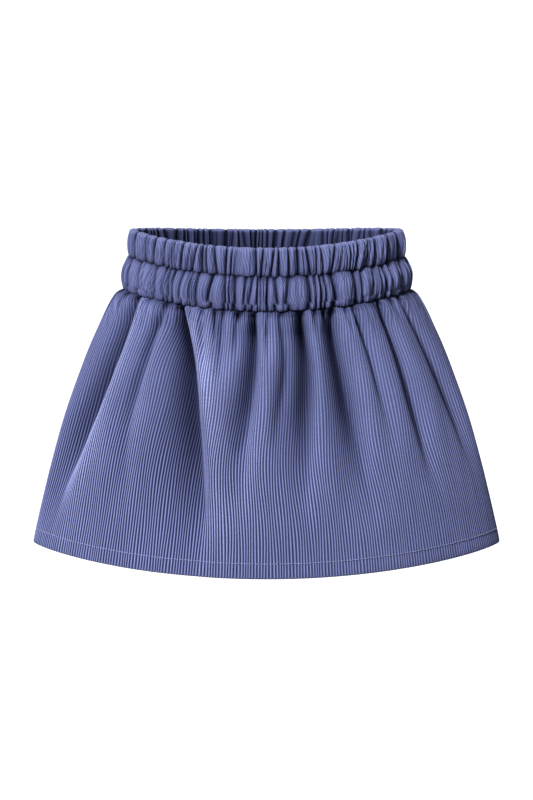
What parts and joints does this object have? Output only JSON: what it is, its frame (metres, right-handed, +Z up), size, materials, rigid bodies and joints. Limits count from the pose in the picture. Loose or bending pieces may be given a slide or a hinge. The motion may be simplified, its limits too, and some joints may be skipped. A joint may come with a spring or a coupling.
{
  "type": "corduroy skirt",
  "caption": "Child's flared corduroy skirt, filled out and hollow, gathered below a shirred elastic waistband of stacked casings, with a turned-up stitched hem.",
  "frame": {"origin": "middle of the waist opening, level with the rim at the side seams", "axes": "+X to the right as seen from the front, along the skirt's width; +Y to the back, along its depth; +Z up, out of the waist"},
  "size_m": [0.3088, 0.1486, 0.2183],
  "materials": {
    "corduroy": "soft ribbed cotton pile, matt with a pale sheen along the ribs",
    "thread": "matt sewing thread"
  },
  "bodies": {
    "root": {"waistband_front": "corduroy", "waistband_back": "corduroy", "front_panel": "corduroy", "back_panel": "corduroy"}
  },
  "joints": []
}
